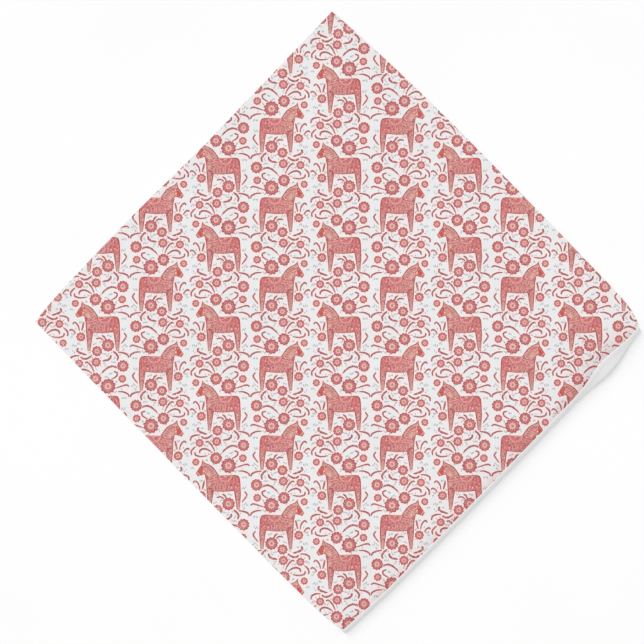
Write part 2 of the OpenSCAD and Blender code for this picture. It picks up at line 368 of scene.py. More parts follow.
def saddle_shapes():
    """A half disc on the back with a pink band and a fan, and the girth and chest bands."""
    middle_x, middle_y = -2.8, 20.2

    def half_disc(r, n):
        angles = [math.pi + math.pi * k / n for k in range(n + 1)]
        return [(middle_x + r * math.cos(a), middle_y + r * math.sin(a)) for a in angles]

    shapes = [(half_disc(9.7, 9), ROSE), (half_disc(8.9, 9), PINK), (half_disc(7.1, 8), CORAL)]
    for k in range(5):
        a = math.pi * (1.14 + 0.18 * k)
        shapes.append((spot(middle_x + 4.6 * math.cos(a), middle_y + 4.6 * math.sin(a), 4, 1.4, a), ROSE))
    shapes.append((half_disc(2.2, 4), OLIVE))
    girth, chest_band = [(middle_x, 11), (middle_x, 2.2)], [(7, 16.6), (12.8, 14.8), (19.6, 13.5)]
    for points, thick in ((girth, 1.5), (chest_band, 1.8)):
        shapes.append((stroke(points, thick + 1.3, ends=(1, 1)), ROSE))
        shapes.append((stroke(points, thick, ends=(1, 1)), PINK))
    return shapes


def body_shapes():
    """Folk painting on the body: curls on the rump, then stripes and small strokes along the belly."""
    curls = (
        ([(-20.2, 9.4), (-18, 12.4), (-14.6, 12.4), (-13.2, 9.4)], 1.3, PETAL),
        ([(-19.6, 2), (-16.4, 6), (-13.4, 6.4)], 1.3, PINK),
        ([(-13.6, 18.8), (-13.4, 15.4), (-10.6, 13)], 1.3, PETAL),
        ([(-14.2, 4.4), (-11.2, 8.4), (-5, 10.4)], 1.4, RING),
        ([(-16.4, 9), (-14.6, 10.4), (-13.8, 8)], 1.1, RING),
        ([(-20, 14), (-19.8, 17.6), (-16.4, 19.2)], 1.1, ROSE),
        ([(-15.4, 13.6), (-14.8, 16.6), (-15.4, 19)], 1.0, RING),
    )
    shapes = [(stroke(points, thick), paint) for points, thick, paint in curls]
    shapes.append((disc(-17.5, 15.8, 1.9, 7), PETAL))
    for x, low, high, paint in ((-8.6, 2, 7.6, ROSE), (-7, 1.6, 8.6, PINK), (-5.4, 1.6, 8.8, ROSE)):
        shapes.append((spot(x, (low + high) / 2, high - low, 1.2, math.pi / 2), paint))
    for k in range(7):
        x, odd = -0.4 + 2 * k, k % 2
        shapes.append((spot(x, 5.4, 7.6, 0.9, 1.5), ROSE if odd else PINK))
        shapes.append((spot(x + 0.6, 11.4 - 0.3 * k, 2.6, 1.0, 0.4 + 0.8 * odd), PINK if odd else RING))
    shapes.append((disc(-10.8, 5, 1.2, 5), CREAM))
    return shapes


def legs_shapes():
    """A green and a red patch above the foreleg, then pale spots and red bars down both legs."""
    red_patch = [(12.7, 2.8), (14.2, 4.8), (18.2, 5.4), (18.5, 3.6),
                 (15.9, 2), (15.1, -1.6), (13.6, -3.8), (13, -1)]
    shapes = [(spot(17.4, 9.6, 6, 4, 1.5), OLIVE), (red_patch, ROSE)]
    for x, y, lean in ((18.4, 1.6, 1.4), (17, -4.6, 1.4), (17.2, -9.4, 1.7),
                       (-18.6, -3, 1.4), (-19, -7.8, 1.7), (-19.2, -13, 1.5)):
        shapes.append((spot(x, y, 3.6, 1.7, lean), PINK if x < 0 else BLUSH))
    for x, y in ((-18.8, -0.2), (-19, -5.4), (-19.2, -10.4), (16.4, -2), (16.9, -7)):
        shapes.append((spot(x, y, 3.6, 0.9, 0.1), ROSE))
    return shapes


def horse():
    """Shapes of the horse from the lowest layer to the highest."""
    outline = horse_outline()
    shapes = [(grown(outline, 1.9), HALO), (grown(outline, 0.25), rim), (grown(outline, -0.85), coat)]
    for part in (head_shapes, neck_shapes, saddle_shapes, body_shapes, legs_shapes):
        shapes += part()
    return shapes


def flower(x, y, r, turned):
    """A round flower: a scalloped ring of petals, a star and a small heart."""
    large, medium = r > 7, r > 5
    lobes, points = (11 if large else 9 if medium else 8), (10 if large else 7)
    pitch = 2 * math.pi / lobes

    def at(angle, reach):
        return x + reach * r * math.cos(angle), y + reach * r * math.sin(angle)

    ring, petals, star = [], [], []
    for k in range(lobes):
        a = turned + k * pitch
        ring.append(at(a - 0.5 * pitch, 0.9))
        ring += [at(a - 0.2 * pitch, 1.05), at(a + 0.2 * pitch, 1.05)] if large else [at(a, 1.08)]
        petals += [at(a - 0.5 * pitch, 0.68), at(a, 0.9)]
    for k in range(points):
        a = turned + 0.3 + 2 * math.pi * k / points
        star += [at(a, 0.58), at(a + math.pi / points, 0.38)]
    return [
        (disc(x, y, r + 2, 12 if large else 10, turned), HALO),
        (ring, RING),
        (petals, PETAL),
        (disc(x, y, 0.63 * r, 8, turned), ROSE),
        (star, CREAM),
        (disc(x, y, 0.3 * r, 7, turned), OLIVE if r > 6.2 else BLUSH),
        (disc(x, y, 0.17 * r, 5, turned), HEART),
    ]


# Flowers: the place and the radius of each
FLOWERS = ((-7, 33, 9.2), (8.9, 42.5, 7.4), (34.6, 37.5, 4.6), (-25.1, 42.5, 5), (27.6, -5, 5.8),
           (-6.9, -15.6, 7.8), (7, -23.2, 6.5), (8.1, -37.1, 5.9), (29.8, -38.9, 5.2), (-25.9, -41.9, 7.2))

# Leaves: the points along each, its width, where it is widest, and the height of its teeth
LEAVES = (
    ([(-14.6, -49.2), (-18.7, -50.8), (-17.5, -55.2), (-11.1, -59.1)], 2.3, 0.35, 0),
    ([(-33.3, 33), (-31.1, 34.6), (-26.7, 34), (-17.1, 30.8)], 2.2, 0.55, 0),
    ([(-33.1, 20.1), (-32.6, 22.8), (-26.2, 25.9), (-19.9, 26.2)], 2.2, 0.5, 0),
    ([(-27.6, -0.3), (-30.2, -3.8), (-28.6, -7.6), (-24.1, -13.3)], 2.2, 0.5, 0),
    ([(23.8, 13.3), (24.8, 8.9), (26.3, 3.2)], 2.5, 0.5, 0),
    ([(37.5, 11.4), (36.2, 13.3), (33.7, 12.7), (30.5, 8.3), (29.5, 2.9)], 2.3, 0.35, 0),
    ([(41.6, 2.9), (40, 4.3), (36.8, 2.9), (34.2, -0.6)], 2.3, 0.35, 0),
    ([(-3.5, -7.6), (-2.2, -5.1), (0.6, -3.2)], 2.5, 0.5, 0),
    ([(7.6, -7.3), (2.5, -6.7), (-1, -9.2)], 2.2, 0.5, 0),
    ([(-33.1, -30.7), (-31.6, -27.5), (-26.2, -25.2), (-19.9, -24.3)], 2.5, 0.5, 0),
    ([(-13.7, -23.5), (-17.1, -26), (-20, -30.5), (-18.7, -34.9)], 2.5, 0.5, 0.6),
    ([(-10.5, -28.6), (-10.2, -31.7), (-6.3, -34.6), (0, -35.6)], 2.5, 0.55, 0.6),
    ([(27.3, -30.8), (23.5, -33), (17.8, -31.7), (14, -28.6)], 2.5, 0.55, 0.4),
    ([(30.8, -19.7), (32.1, -21.6), (30.5, -24.1), (25.4, -26.3), (20.6, -27.6)], 2.5, 0.55, 0.6),
    ([(41.3, -35.6), (40.6, -31.7), (35.6, -29.2), (29.8, -28.9)], 2.5, 0.4, 0),
    ([(21.9, -38.1), (20.3, -37.1), (17.1, -38.7), (13.3, -43.8), (10.8, -49.2)], 2.3, 0.5, 0),
    ([(29.8, -51.4), (29.2, -48.3), (24.8, -46.3), (19, -47.6), (14, -51.1)], 2.5, 0.5, 0),
    ([(40, -54), (40.6, -50.2), (38.1, -46.3), (34.9, -43.8)], 2.3, 0.5, 0),
    ([(-18.1, -44.4), (-14, -42.5), (-8.9, -43.2), (-3.8, -46.3), (0.6, -50.8)], 2.3, 0.5, 0.6),
    ([(35.7, -51), (35.1, -54.2), (28.8, -56.3), (20.3, -55.2)], 2.3, 0.4, 0),
)

# Sprigs in the gaps: the place of each and how many small strokes it has
SPRIGS = (
    (-8.8, -4.3, 4), (-29.6, -15.4, 4), (-24.9, -17.9, 1), (-26.8, -22.4, 2), (-22.4, -27.7, 1),
    (2.3, -11.5, 2), (-11.8, -25.4, 1), (-6.6, -28.2, 3), (-2.1, -26.5, 3), (-15.2, -31.5, 2),
    (-13.8, -36.5, 4), (2.3, -31.5, 1), (-2.4, -39.9, 3), (2.3, -41.5, 1), (-10.4, -51.5, 3),
    (-5.7, -56, 4), (1.8, -52.1, 1), (7.9, -2.7, 4), (10.1, -13.8, 3), (37.4, -1.8, 3),
    (39.3, -4, 2), (22.1, -9.9, 1), (31.2, -12.1, 2), (28.7, -14.3, 1), (36.2, -16.6, 4),
    (26.5, -20.4, 2), (37.6, -22.7, 1), (35.4, -24.9, 1), (16.5, -25.4, 2), (12.9, -31.6, 1),
    (15.4, -34.3, 2), (30.7, -32.1, 1), (35.1, -34.3, 1), (38.4, -39.9, 4), (19.6, -42.7, 2),
    (23.4, -42.7, 2), (8.4, -46, 2), (17.6, -52.9, 2), (22.6, -52.9, 1), (-16.6, 37.3, 4),
    (-24.1, 29.6, 1), (-16, 25.7, 3), (-29.6, 19, 2), (-25.7, 17.9, 2), (-10.2, 22.6, 1),
    (-26.6, 4, 4), (2.9, 27.9, 3), (39, 30.7, 3), (27.6, 14.6, 3), (20.1, 40.7, 2), (34, 5.1, 1),
    (22.9, 2.9, 2), (12, 34, 2),
)
SPRIG_SEED, SPRIG_PITCH, SPRIG_STAGGER, SPRIG_WIDE = 11, 1.5, 1.6, 1.15
SPRIG_LEANS, SPRIG_LENGTHS = (65, 115), (2.8, 3.9)
LEAF_ENDS, LEAF_HALO, LEAF_HALO_ENDS = (0.8, 0.62), 3.2, (0.75, 0.65)
# Layers of the print from the lowest to the highest
HALOS, GAPS, PLANTS, HORSES = range(4)


def sprig(x, y, strokes, rng):
    """A few small pointed strokes side by side."""
    lean, paint = math.radians(rng.uniform(*SPRIG_LEANS)), SPRIG_COLOURS[rng.randrange(len(SPRIG_COLOURS))]
    shapes = []
    for k in range(strokes):
        away = rng.uniform(-SPRIG_STAGGER, SPRIG_STAGGER) * (strokes > 1)
        across = (k - (strokes - 1) / 2) * SPRIG_PITCH
        middle = (x + away * math.cos(lean) - across * math.sin(lean),
                  y + away * math.sin(lean) + across * math.cos(lean))
        length, stroke_lean = rng.uniform(*SPRIG_LENGTHS), lean + rng.uniform(-0.4, 0.4)
        shapes.append((spot(*middle, length, SPRIG_WIDE, stroke_lean), paint))
    return shapes


def half_repeat():
    """Shapes of one horse and the flowers, leaves and sprigs round it, as (layer, outline, paint)."""
    shapes = [(HALOS if paint is HALO else HORSES, outline, paint) for outline, paint in horse()]
    for k, (x, y, r) in enumerate(FLOWERS):
        for outline, paint in flower(x, y, r, 0.7 * k):
            shapes.append((HALOS if paint is HALO else PLANTS, outline, paint))
    for points, width, fat, teeth in LEAVES:
        halo = stroke(points, width + LEAF_HALO, 1, fat, LEAF_HALO_ENDS)
        shapes.append((HALOS, halo, HALO))
        shapes.append((PLANTS, stroke(points, width, 2, fat, LEAF_ENDS, teeth), LEAF))
    rng = random.Random(SPRIG_SEED)
    for x, y, strokes in SPRIGS:
        shapes += [(GAPS, outline, paint) for outline, paint in sprig(x, y, strokes, rng)]
    return shapes


# The print repeats on this rectangle, which holds one horse that faces right and one that faces left
REPEAT = np.array([153.05, 100.74])
RIGHT_FACING, LEFT_FACING = (75.6, -64.1), (160.2, -13.8)


def repeat_shapes():
    """Every shape that shows in the repeat, lowest first, as (layer, outline, paint, facing, origin)."""
    placed = []
    for facing, origin in ((1, RIGHT_FACING), (-1, LEFT_FACING)):
        for layer, outline, paint in half_repeat():
            pts = np.array(outline) * (facing, 1) + origin
            low, high = pts.min(0), pts.max(0)
            for i in range(-2, 3):
                for j in range(-2, 3):
                    shift = np.array([i, j]) * REPEAT
                    if (low + shift < REPEAT).all() and (high + shift > 0).all():
                        placed.append((layer, pts + shift, paint, facing, np.array(origin) + shift))
    placed.sort(key=lambda shape: shape[0])
    return placed


def cut_repeat(shapes):
    """Triangles of the repeat: its vertices, the triangles and the topmost shape of each."""
    width, height = REPEAT
    # Extra points in the gaps keep the triangles small enough for the ripples and the bend
    spacing, clear, side_clear, weld = 7.0, 3.2, 1, 1e-5
    verts = [Vector(v) for v in ((0, 0), (width, 0), (width, height), (0, height))]
    faces = [[0, 1, 2, 3]]
    for _, pts, *_ in shapes:
        if area_of(pts) < 0:
            pts = pts[::-1]
        faces.append(list(range(len(verts), len(verts) + len(pts))))
        verts += [Vector(v) for v in pts]
    outline_points = np.array([v[:] for v in verts])
    for i in range(int(width / spacing)):
        for j in range(int(height / spacing)):
            x, y = (i + 0.5 + 0.5 * (j % 2)) * spacing, (j + 0.5) * spacing
            nearest = ((outline_points - (x, y)) ** 2).sum(1).min()
            if x < width - side_clear and nearest > clear**2:
                verts.append(Vector((x, y)))
    points, _, triangles, _, _, owners = delaunay_2d_cdt(verts, [], faces, 1, weld, True)
    kept = [(tri, max(own)) for tri, own in zip(triangles, owners) if 0 in own]
    used = sorted({v for tri, _ in kept for v in tri})
    number = {v: k for k, v in enumerate(used)}
    xy = np.array([points[v][:] for v in used])
    return xy, np.array([[number[v] for v in tri] for tri, _ in kept]), np.array([own for _, own in kept])


def spread(xy, triangles, owners):
    """The repeat laid over the whole cloth, with the edges of neighbouring repeats joined."""
    near, margin = 1e-3, 30
    twin = np.arange(len(xy))
    step = np.zeros((len(xy), 2), int)
    for axis in (0, 1):
        far = np.flatnonzero(np.abs(xy[:, axis] - REPEAT[axis]) < near)
        low = np.flatnonzero(np.abs(xy[:, axis]) < near)
        for v in far:
            image = xy[v].copy()
            image[axis] = 0
            match = low[np.argmin(((xy[low] - image) ** 2).sum(1))]
            twin[v] = match
            step[v, axis] = 1
    corner = np.flatnonzero((np.abs(xy - REPEAT) < near).all(1))
    origin = np.flatnonzero((np.abs(xy) < near).all(1))[0]
    twin[corner], step[corner] = origin, 1
    reach = np.array([HALF_WIDE + margin, HALF_HIGH + margin])
    first, last = np.floor(-reach / REPEAT).astype(int), np.floor(reach / REPEAT).astype(int)
    keys, places, tri_keys, tri_shift = {}, [], [], []
    for i in range(first[0], last[0] + 1):
        for j in range(first[1], last[1] + 1):
            shift = np.array([i, j]) * REPEAT
            number = np.empty(len(xy), int)
            for v in range(len(xy)):
                key = (i + step[v, 0], j + step[v, 1], twin[v])
                if key not in keys:
                    keys[key] = len(places)
                    places.append(xy[v] + shift)
                number[v] = keys[key]
            tri_keys.append(number[triangles])
            tri_shift.append(np.repeat(shift[None], len(triangles), 0))
    owners = np.tile(owners, len(tri_keys))
    return np.array(places), np.concatenate(tri_keys), owners, np.concatenate(tri_shift)


class Sheet:
    """Triangles on the cloth, which can be cut along lines. Columns of data: x, y, p, s."""

    def __init__(self, data, triangles, owners, shifts):
        self.data, self.triangles, self.owners, self.shifts = data, triangles, owners, shifts

    def cut(self, field, keep_both, snap=None):
        """Cuts the triangles where the field is 0, and drops its negative side unless both are kept."""
        touching = 0.02
        value = field(self.data)
        value[np.abs(value) < touching] = 0
        at = value[self.triangles]
        high, low = (at > 0).any(1), (at < 0).any(1)
        crossing = high & low
        whole = ~crossing & (True if keep_both else high)
        made, extra, tris, came_from = {}, [], [], []
        count = len(self.data)
        for t in np.flatnonzero(crossing):
            corners = self.triangles[t]
            sides = {1: [], -1: []}
            for k in range(3):
                a, b = int(corners[k]), int(corners[(k + 1) % 3])
                va, vb = value[a], value[b]
                for side in (1, -1):
                    if va * side >= 0:
                        sides[side].append(a)
                if va * vb < 0:
                    key = (a, b) if a < b else (b, a)
                    if key not in made:
                        made[key] = count + len(extra)
                        share = va / (va - vb)
                        new = self.data[a] * (1 - share) + self.data[b] * share
                        extra.append(snap(new) if snap else new)
                    for side in (1, -1):
                        sides[side].append(made[key])
            for side in (1, -1) if keep_both else (1,):
                poly = sides[side]
                for k in range(1, len(poly) - 1):
                    tris.append((poly[0], poly[k], poly[k + 1]))
                    came_from.append(t)
        self.data = np.concatenate([self.data, np.array(extra).reshape(-1, 4)])
        self.triangles = np.concatenate([self.triangles[whole], np.array(tris, int).reshape(-1, 3)])
        kept = np.concatenate([np.flatnonzero(whole), np.array(came_from, int)])
        self.owners, self.shifts = self.owners[kept], self.shifts[kept]


def trim(sheet):
    """Cuts the print to the four sides of the cloth."""

    def on_side(column, to):
        def snap(new):
            new[column] = to
            return new
        return snap

    def on_free_edge(new):
        new[3] = width_at(new[2])
        return new

    sheet.cut(lambda d: d[:, 2].copy(), False, snap=on_side(2, 0))
    sheet.cut(lambda d: ALONG - d[:, 2], False, snap=on_side(2, ALONG))
    sheet.cut(lambda d: d[:, 3].copy(), False, snap=on_side(3, 0))
    sheet.cut(lambda d: width_at(d[:, 2]) - d[:, 3], False, snap=on_free_edge)


def corner_colours(shapes, owners, corners):
    """Colour of each triangle's corners, from the shape that owns it."""
    colours = np.empty((len(corners), 3, 4))
    for owner in np.unique(owners):
        rows = np.flatnonzero(owners == owner)
        if owner == 0:
            colours[rows] = GROUND
            continue
        _, _, paint, facing, origin = shapes[owner - 1]
        if callable(paint):
            local = (corners[rows].reshape(-1, 2) - origin) * (facing, 1)
            paint = paint(local[:, 0], local[:, 1]).reshape(-1, 3, 4)
        colours[rows] = paint
    return colours


def print_on_cloth():
    """The printed face as triangles, each in one colour area of the print."""
    beyond, beyond_bend, bend_step, bend_lines = 20, 60, 1.2, 12
    shapes = repeat_shapes()
    places, triangles, owners, shifts = spread(*cut_repeat(shapes))
    p, s = cloth_place(places)
    # Triangles far outside the cloth go first
    near = (p > -beyond) & (p < ALONG + beyond) & (s > -beyond) & (s < ACROSS + beyond_bend)
    kept = near[triangles].any(1)
    sheet = Sheet(np.column_stack([places, p, s]), triangles[kept], owners[kept], shifts[kept])
    trim(sheet)
    # Lines along the bend, so that it is round
    for k in range(bend_lines):
        sheet.cut(lambda d: d[:, 3] - (ACROSS + k * bend_step), True)
    used, numbered = np.unique(sheet.triangles, return_inverse=True)
    triangles, data = numbered.reshape(-1, 3), sheet.data[used]
    corners = data[triangles][..., :2] - sheet.shifts[:, None, :]
    return data, triangles, corner_colours(shapes, sheet.owners, corners), corners


# ---------------------------------------------------------------- meshes
LIT = 1.09  # how many times its own reflectance flat cloth shows under the studio light


def linear(colour):
    c = np.asarray(colour, float) / 255
    return np.where(c <= 0.04045, c / 12.92, ((c + 0.055) / 1.055) ** 2.4)


def ink(colour):
    """Reflectance of a colour that shows as this one under the studio light."""
    return tuple(linear(colour[:3]) / LIT) + (1.0,)


def build(name, verts, faces, uvs, colours=None):
    """A mesh object from millimetres. uvs are {layer: values for each corner}."""
    mesh = bpy.data.meshes.new(name)
    mesh.from_pydata((np.asarray(verts) * MM).tolist(), [], [list(map(int, f)) for f in faces])
    for layer, values in uvs.items():
        mesh.uv_layers.new(name=layer).data.foreach_set("uv", np.asarray(values, np.float32).ravel())
    if colours is not None:
        attribute = mesh.color_attributes.new(name="ink", type="FLOAT_COLOR", domain="CORNER")
        attribute.data.foreach_set("color", np.asarray(colours, np.float32).ravel())
    mesh.polygons.foreach_set("use_smooth", [True] * len(mesh.polygons))
    mesh.update()
    obj = bpy.data.objects.new(name, mesh)
    bpy.context.scene.collection.objects.link(obj)
    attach(obj, "root")
    return obj


def build_face():
    data, triangles, colours, corners = print_on_cloth()
    verts = point(data[:, 2], data[:, 3], CLOTH_T)
    colours[..., :3] = linear(colours[..., :3]) / LIT
    at = data[triangles][..., 2:]
    width = width_at(at[..., 0])
    ends = np.stack([at[..., 0], ALONG - at[..., 0], at[..., 1], width - at[..., 1]], -1)
    side = ends.mean(1).argmin(-1)
    distance = np.take_along_axis(ends, side[:, None, None].repeat(3, 1), -1)[..., 0]
    run = np.where((side < 2)[:, None], at[..., 1], at[..., 0])
    face = build("cloth_face", verts, triangles, {
        "cloth": at * MM, "print": corners * MM, "hem": np.stack([distance, run], -1) * MM}, colours)
    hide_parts("cloth_panel")
    return face


def grid_faces(rows, columns):
    """Quads of a grid of points, seen from its lower side."""
    faces = []
    for i in range(rows - 1):
        for j in range(columns - 1):
            a, d = i * columns + j, (i + 1) * columns + j
            faces.append((a, d, d + 1, a + 1))
    return faces


def corner_uvs(faces, values):
    return [values[v] for f in faces for v in f]


def grid_lines(*stretches):
    """Places of grid lines, from stretches that follow each other as (start, end, number of steps)."""
    lines = [np.linspace(start, end, steps + 1)[:-1] for start, end, steps in stretches]
    return np.concatenate([*lines, [stretches[-1][1]]])


def build_back():
    """The cloth's plain back, with its thin rim."""
    side_zone, across_zone, strip_steps = 40, 30, 36
    p_lines = grid_lines((0, HEM_W, 2), (HEM_W, side_zone, 8), (side_zone, ALONG - side_zone, 110),
                         (ALONG - side_zone, ALONG - HEM_W, 8), (ALONG - HEM_W, ALONG, 2))
    flat_lines = grid_lines((0, HEM_W, 2), (HEM_W, across_zone, 6), (across_zone, ACROSS - across_zone, 80),
                            (ACROSS - across_zone, ACROSS, 8))
    strip_shares = np.linspace(0, 1, strip_steps + 1)[1:]
    pp = np.repeat(p_lines[:, None], len(flat_lines) + len(strip_shares), 1)
    ss = np.concatenate([np.repeat(flat_lines[None], len(p_lines), 0),
                         ACROSS + strip(p_lines / ALONG)[:, None] * strip_shares[None]], 1)
    rows, columns = pp.shape
    verts = point(pp, ss, 0).reshape(-1, 3)
    where = np.stack([pp, ss], -1).reshape(-1, 2)
    faces = grid_faces(rows, columns)
    # The rim goes from the edge of the back to the edge of the printed face
    ring = [i * columns for i in range(rows)] + [(rows - 1) * columns + j for j in range(1, columns)]
    ring += [i * columns + columns - 1 for i in range(rows - 2, -1, -1)] + list(range(columns - 2, 0, -1))
    lips = point(where[ring][:, 0], where[ring][:, 1], CLOTH_T)
    count = len(verts)
    for k, vert in enumerate(ring):
        after = (k + 1) % len(ring)
        faces.append((vert, ring[after], count + after, count + k))
    verts, where = np.concatenate([verts, lips]), np.concatenate([where, where[ring]])
    back = build("cloth_back", verts, faces, {"cloth": corner_uvs(faces, where * MM)})
    return back


# Each side: the place at a distance in from its edge and a run along it, its length, and how far in
# its hem starts
SIDES = {
    "upper_left": (lambda d, run: (run, d), lambda: ALONG, 0.0),
    "upper_right": (lambda d, run: (d, run), lambda: width_at(0.0), HEM_W),
    "lower_left": (lambda d, run: (ALONG - d, run), lambda: width_at(ALONG), HEM_W),
    "lower_right": (lambda d, run: (run, width_at(run) - d), lambda: ALONG, 0.0),
}

# Section of a double-turned hem as (distance in from the edge, height): the fold goes round the
# edge of the cloth, and the inner fold ends against its back
HEM_SECTION = ((0.10, 0.30), (-0.12, 0.24), (-0.26, 0.05), (-0.30, -0.15), (-0.24, -0.38), (-0.08, -0.55),
               (0.2, -0.6), (1.6, -0.57), (3.4, -0.6), (4.3, -0.58), (4.8, -0.5), (5.3, -0.58), (5.8, -0.6),
               (6.02, -0.5), (6.1, -0.32), (6.05, -0.12), (5.9, -0.02), (3, -0.05), (0.5, -0.02))
HEM_RINGS = 241


def build_hem(side):
    where, length, inset = SIDES[side]
    runs = np.linspace(inset, length() - inset, HEM_RINGS)
    section = np.array(HEM_SECTION)
    d, run = np.meshgrid(section[:, 0], runs)
    # The inner fold of a sewn hem wanders a little
    wander = 0.12 * np.sin(run / 7.3) + 0.08 * np.sin(run / 2.9 + 1)
    p, s = where(d + np.where(d > HEM_W / 2, wander, 0), run)
    verts = point(p, s, section[:, 1][None, :].repeat(len(runs), 0)).reshape(-1, 3)
    n = len(section)
    faces = [(i * n + j, i * n + (j + 1) % n, (i + 1) * n + (j + 1) % n, (i + 1) * n + j)
             for i in range(len(runs) - 1) for j in range(n)]
    last = (len(runs) - 1) * n
    faces += [tuple(range(n))[::-1], tuple(range(last, last + n))]
    uv = np.stack([d, run], -1).reshape(-1, 2) * MM
    hem = build("hem_cloth_" + side, verts, faces, {"cloth": corner_uvs(faces, uv)})
    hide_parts("hem_" + side)
    return hem


STITCH_PITCH, STITCH_LENGTH, STITCH_WIDE, STITCH_CORNERS = 2.6, 2.2, 0.46, 6
# Rings of a stitch: the share of its length from its middle, its girth, and how high it lies
STITCH_RINGS = ((-0.5, 0.25, -0.12), (-0.34, 0.8, 0.35), (0, 1, 0.8), (0.34, 0.8, 0.35), (0.5, 0.25, -0.12))
# How far a stitch strays along the row, off it, and askew at its ends
STITCH_SHIFT, STITCH_OFF, STITCH_LEAN = 0.06, 0.05, 0.07
# How deep the bobbin thread lies in the underside of the hem
BOBBIN_SUNK = 0.1


def stitch_faces(first, outwards):
    """Faces of one stitch whose vertices start at a number, turned outwards or the other way round."""
    n, faces = STITCH_CORNERS, []
    for r in range(len(STITCH_RINGS) - 1):
        for a in range(n):
            b, low = (a + 1) % n, first + r * n
            quad = (low + a, low + b, low + n + b, low + n + a)
            faces.append(quad if outwards else quad[::-1])
    last = first + (len(STITCH_RINGS) - 1) * n
    return faces + [tuple(first + a for a in range(n)), tuple(last + a for a in reversed(range(n)))]


def build_stitches(side, kind):
    """A row of lockstitches, each sunk into the cloth at its two ends."""
    where, length, _ = SIDES[side]
    surface, up = (CLOTH_T, 1) if kind == "needle" else (-HEM_T + BOBBIN_SUNK, -1)
    rng = random.Random(side + kind)
    verts, faces, uvs = [], [], []
    for k in range(int((length() - 2 * STITCH_IN) / STITCH_PITCH)):
        middle = STITCH_IN + (k + 0.5) * STITCH_PITCH + rng.uniform(-STITCH_SHIFT, STITCH_SHIFT)
        off, lean = rng.uniform(-STITCH_OFF, STITCH_OFF), rng.uniform(-STITCH_LEAN, STITCH_LEAN)
        faces += stitch_faces(len(verts), up > 0)
        for share, girth, rise in STITCH_RINGS:
            for a in range(STITCH_CORNERS):
                angle = 2 * math.pi * a / STITCH_CORNERS
                d = STITCH_IN + off + lean * share * 2 + STITCH_WIDE / 2 * girth * math.cos(angle)
                h = surface + up * THREAD_H * (rise - 0.4 + 0.5 * girth * math.sin(angle))
                verts.append((d, middle + share * STITCH_LENGTH, h))
                uvs.append((a / STITCH_CORNERS * STITCH_WIDE * 3 * MM, (share + 0.5) * STITCH_LENGTH * MM))
    cells = np.array(verts)
    p, s = where(cells[:, 0], cells[:, 1])
    row = build(f"{kind}_stitches_{side}", point(p, s, cells[:, 2]), faces,
                {"cloth": corner_uvs(faces, np.array(uvs))})
    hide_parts(f"{kind}_thread_{side}")
    return row


# ------------------------------------------------------------- materials
class Nodes:
    """A material's nodes, built by short calls."""

    def __init__(self, name):
        self.material = bpy.data.materials.new(name)
        self.material.use_nodes = True
        self.tree = self.material.node_tree
        self.tree.nodes.clear()
        self.shader, output = self.new("BsdfPrincipled"), self.new("OutputMaterial")
        self.tree.links.new(self.shader.outputs[0], output.inputs[0])

    def new(self, kind):
        return self.tree.nodes.new("ShaderNode" + kind)

    def join(self, source, target):
        if hasattr(source, "is_output"):
            self.tree.links.new(source, target)
        else:
            target.default_value = source

    def put(self, name, source):
        self.join(source, self.shader.inputs[name])

    def uv(self, layer):
        node = self.new("UVMap")
        node.uv_map = layer
        return node.outputs[0]

    def attribute(self, name):
        node = self.new("Attribute")
        node.attribute_name = name
        return node.outputs["Color"], node.outputs["Alpha"]

    def math(self, operation, a, b=0.0):
        node = self.new("Math")
        node.operation = operation
        for value, socket in zip((a, b), node.inputs):
            self.join(value, socket)
        return node.outputs[0]

    def times(self, a, b):
        return self.math("MULTIPLY", a, b)

    def plus(self, a, b):
        return self.math("ADD", a, b)

    def sine(self, run, pitch_mm):
        return self.math("SINE", self.times(run, 2 * math.pi / (pitch_mm * MM)))

    def parts(self, vector):
        node = self.new("SeparateXYZ")
        self.join(vector, node.inputs[0])
        return node.outputs[0], node.outputs[1]

    def vector(self, x, y, z=0.0):
        node = self.new("CombineXYZ")
        for value, socket in zip((x, y, z), node.inputs):
            self.join(value, socket)
        return node.outputs[0]

    def noise(self, vector, size_mm, detail, stretch=(1, 1)):
        """Noise from 0 to 1 whose patches are about size_mm across, longer by stretch."""
        mapping = self.new("Mapping")
        self.join(vector, mapping.inputs["Vector"])
        scale = [1 / (size_mm * MM * longer) for longer in stretch]
        mapping.inputs["Scale"].default_value = (*scale, 1)
        node = self.new("TexNoise")
        node.noise_dimensions = "2D"
        self.tree.links.new(mapping.outputs[0], node.inputs["Vector"])
        node.inputs["Scale"].default_value = 1
        node.inputs["Detail"].default_value = detail
        return node.outputs[0]

    def ramp(self, value, from_low, from_high, low, high):
        node = self.new("MapRange")
        for socket, v in zip(node.inputs, (value, from_low, from_high, low, high)):
            self.join(v, socket)
        return node.outputs[0]

    def mix(self, share, a, b, kind="MIX"):
        node = self.new("Mix")
        node.data_type, node.blend_type = "RGBA", kind
        self.join(share, node.inputs[0])
        self.join(a, node.inputs[6])
        self.join(b, node.inputs[7])
        return node.outputs[2]

    def bump(self, height, metres):
        node = self.new("Bump")
        node.inputs["Strength"].default_value = 1
        node.inputs["Distance"].default_value = metres
        self.join(height, node.inputs["Height"])
        return node.outputs[0]


# Of the weave: its thread pitch, the width of a slub and its length in widths, and the bump's height
THREAD_PITCH, SLUB_WIDE, SLUB_LONG, WEAVE_HEIGHT = 0.42, 0.8, 16, 0.09
# How far the puckers reach from the stitch row and along it, and the twist of the sewing thread
PUCKER_WIDE, PUCKER_DRIFT = 2.2, 9
TWIST_PITCH, TWIST_HEIGHT = 0.45, 0.04
# Sizes of the print's brushwork, its broader mottling, and the slow change of tone over the cloth
GRAIN, MOTTLE, DRIFT = 2.0, 4.5, 60
DEEP_INK, PALE_INK = (156, 76, 78), (244, 196, 188)


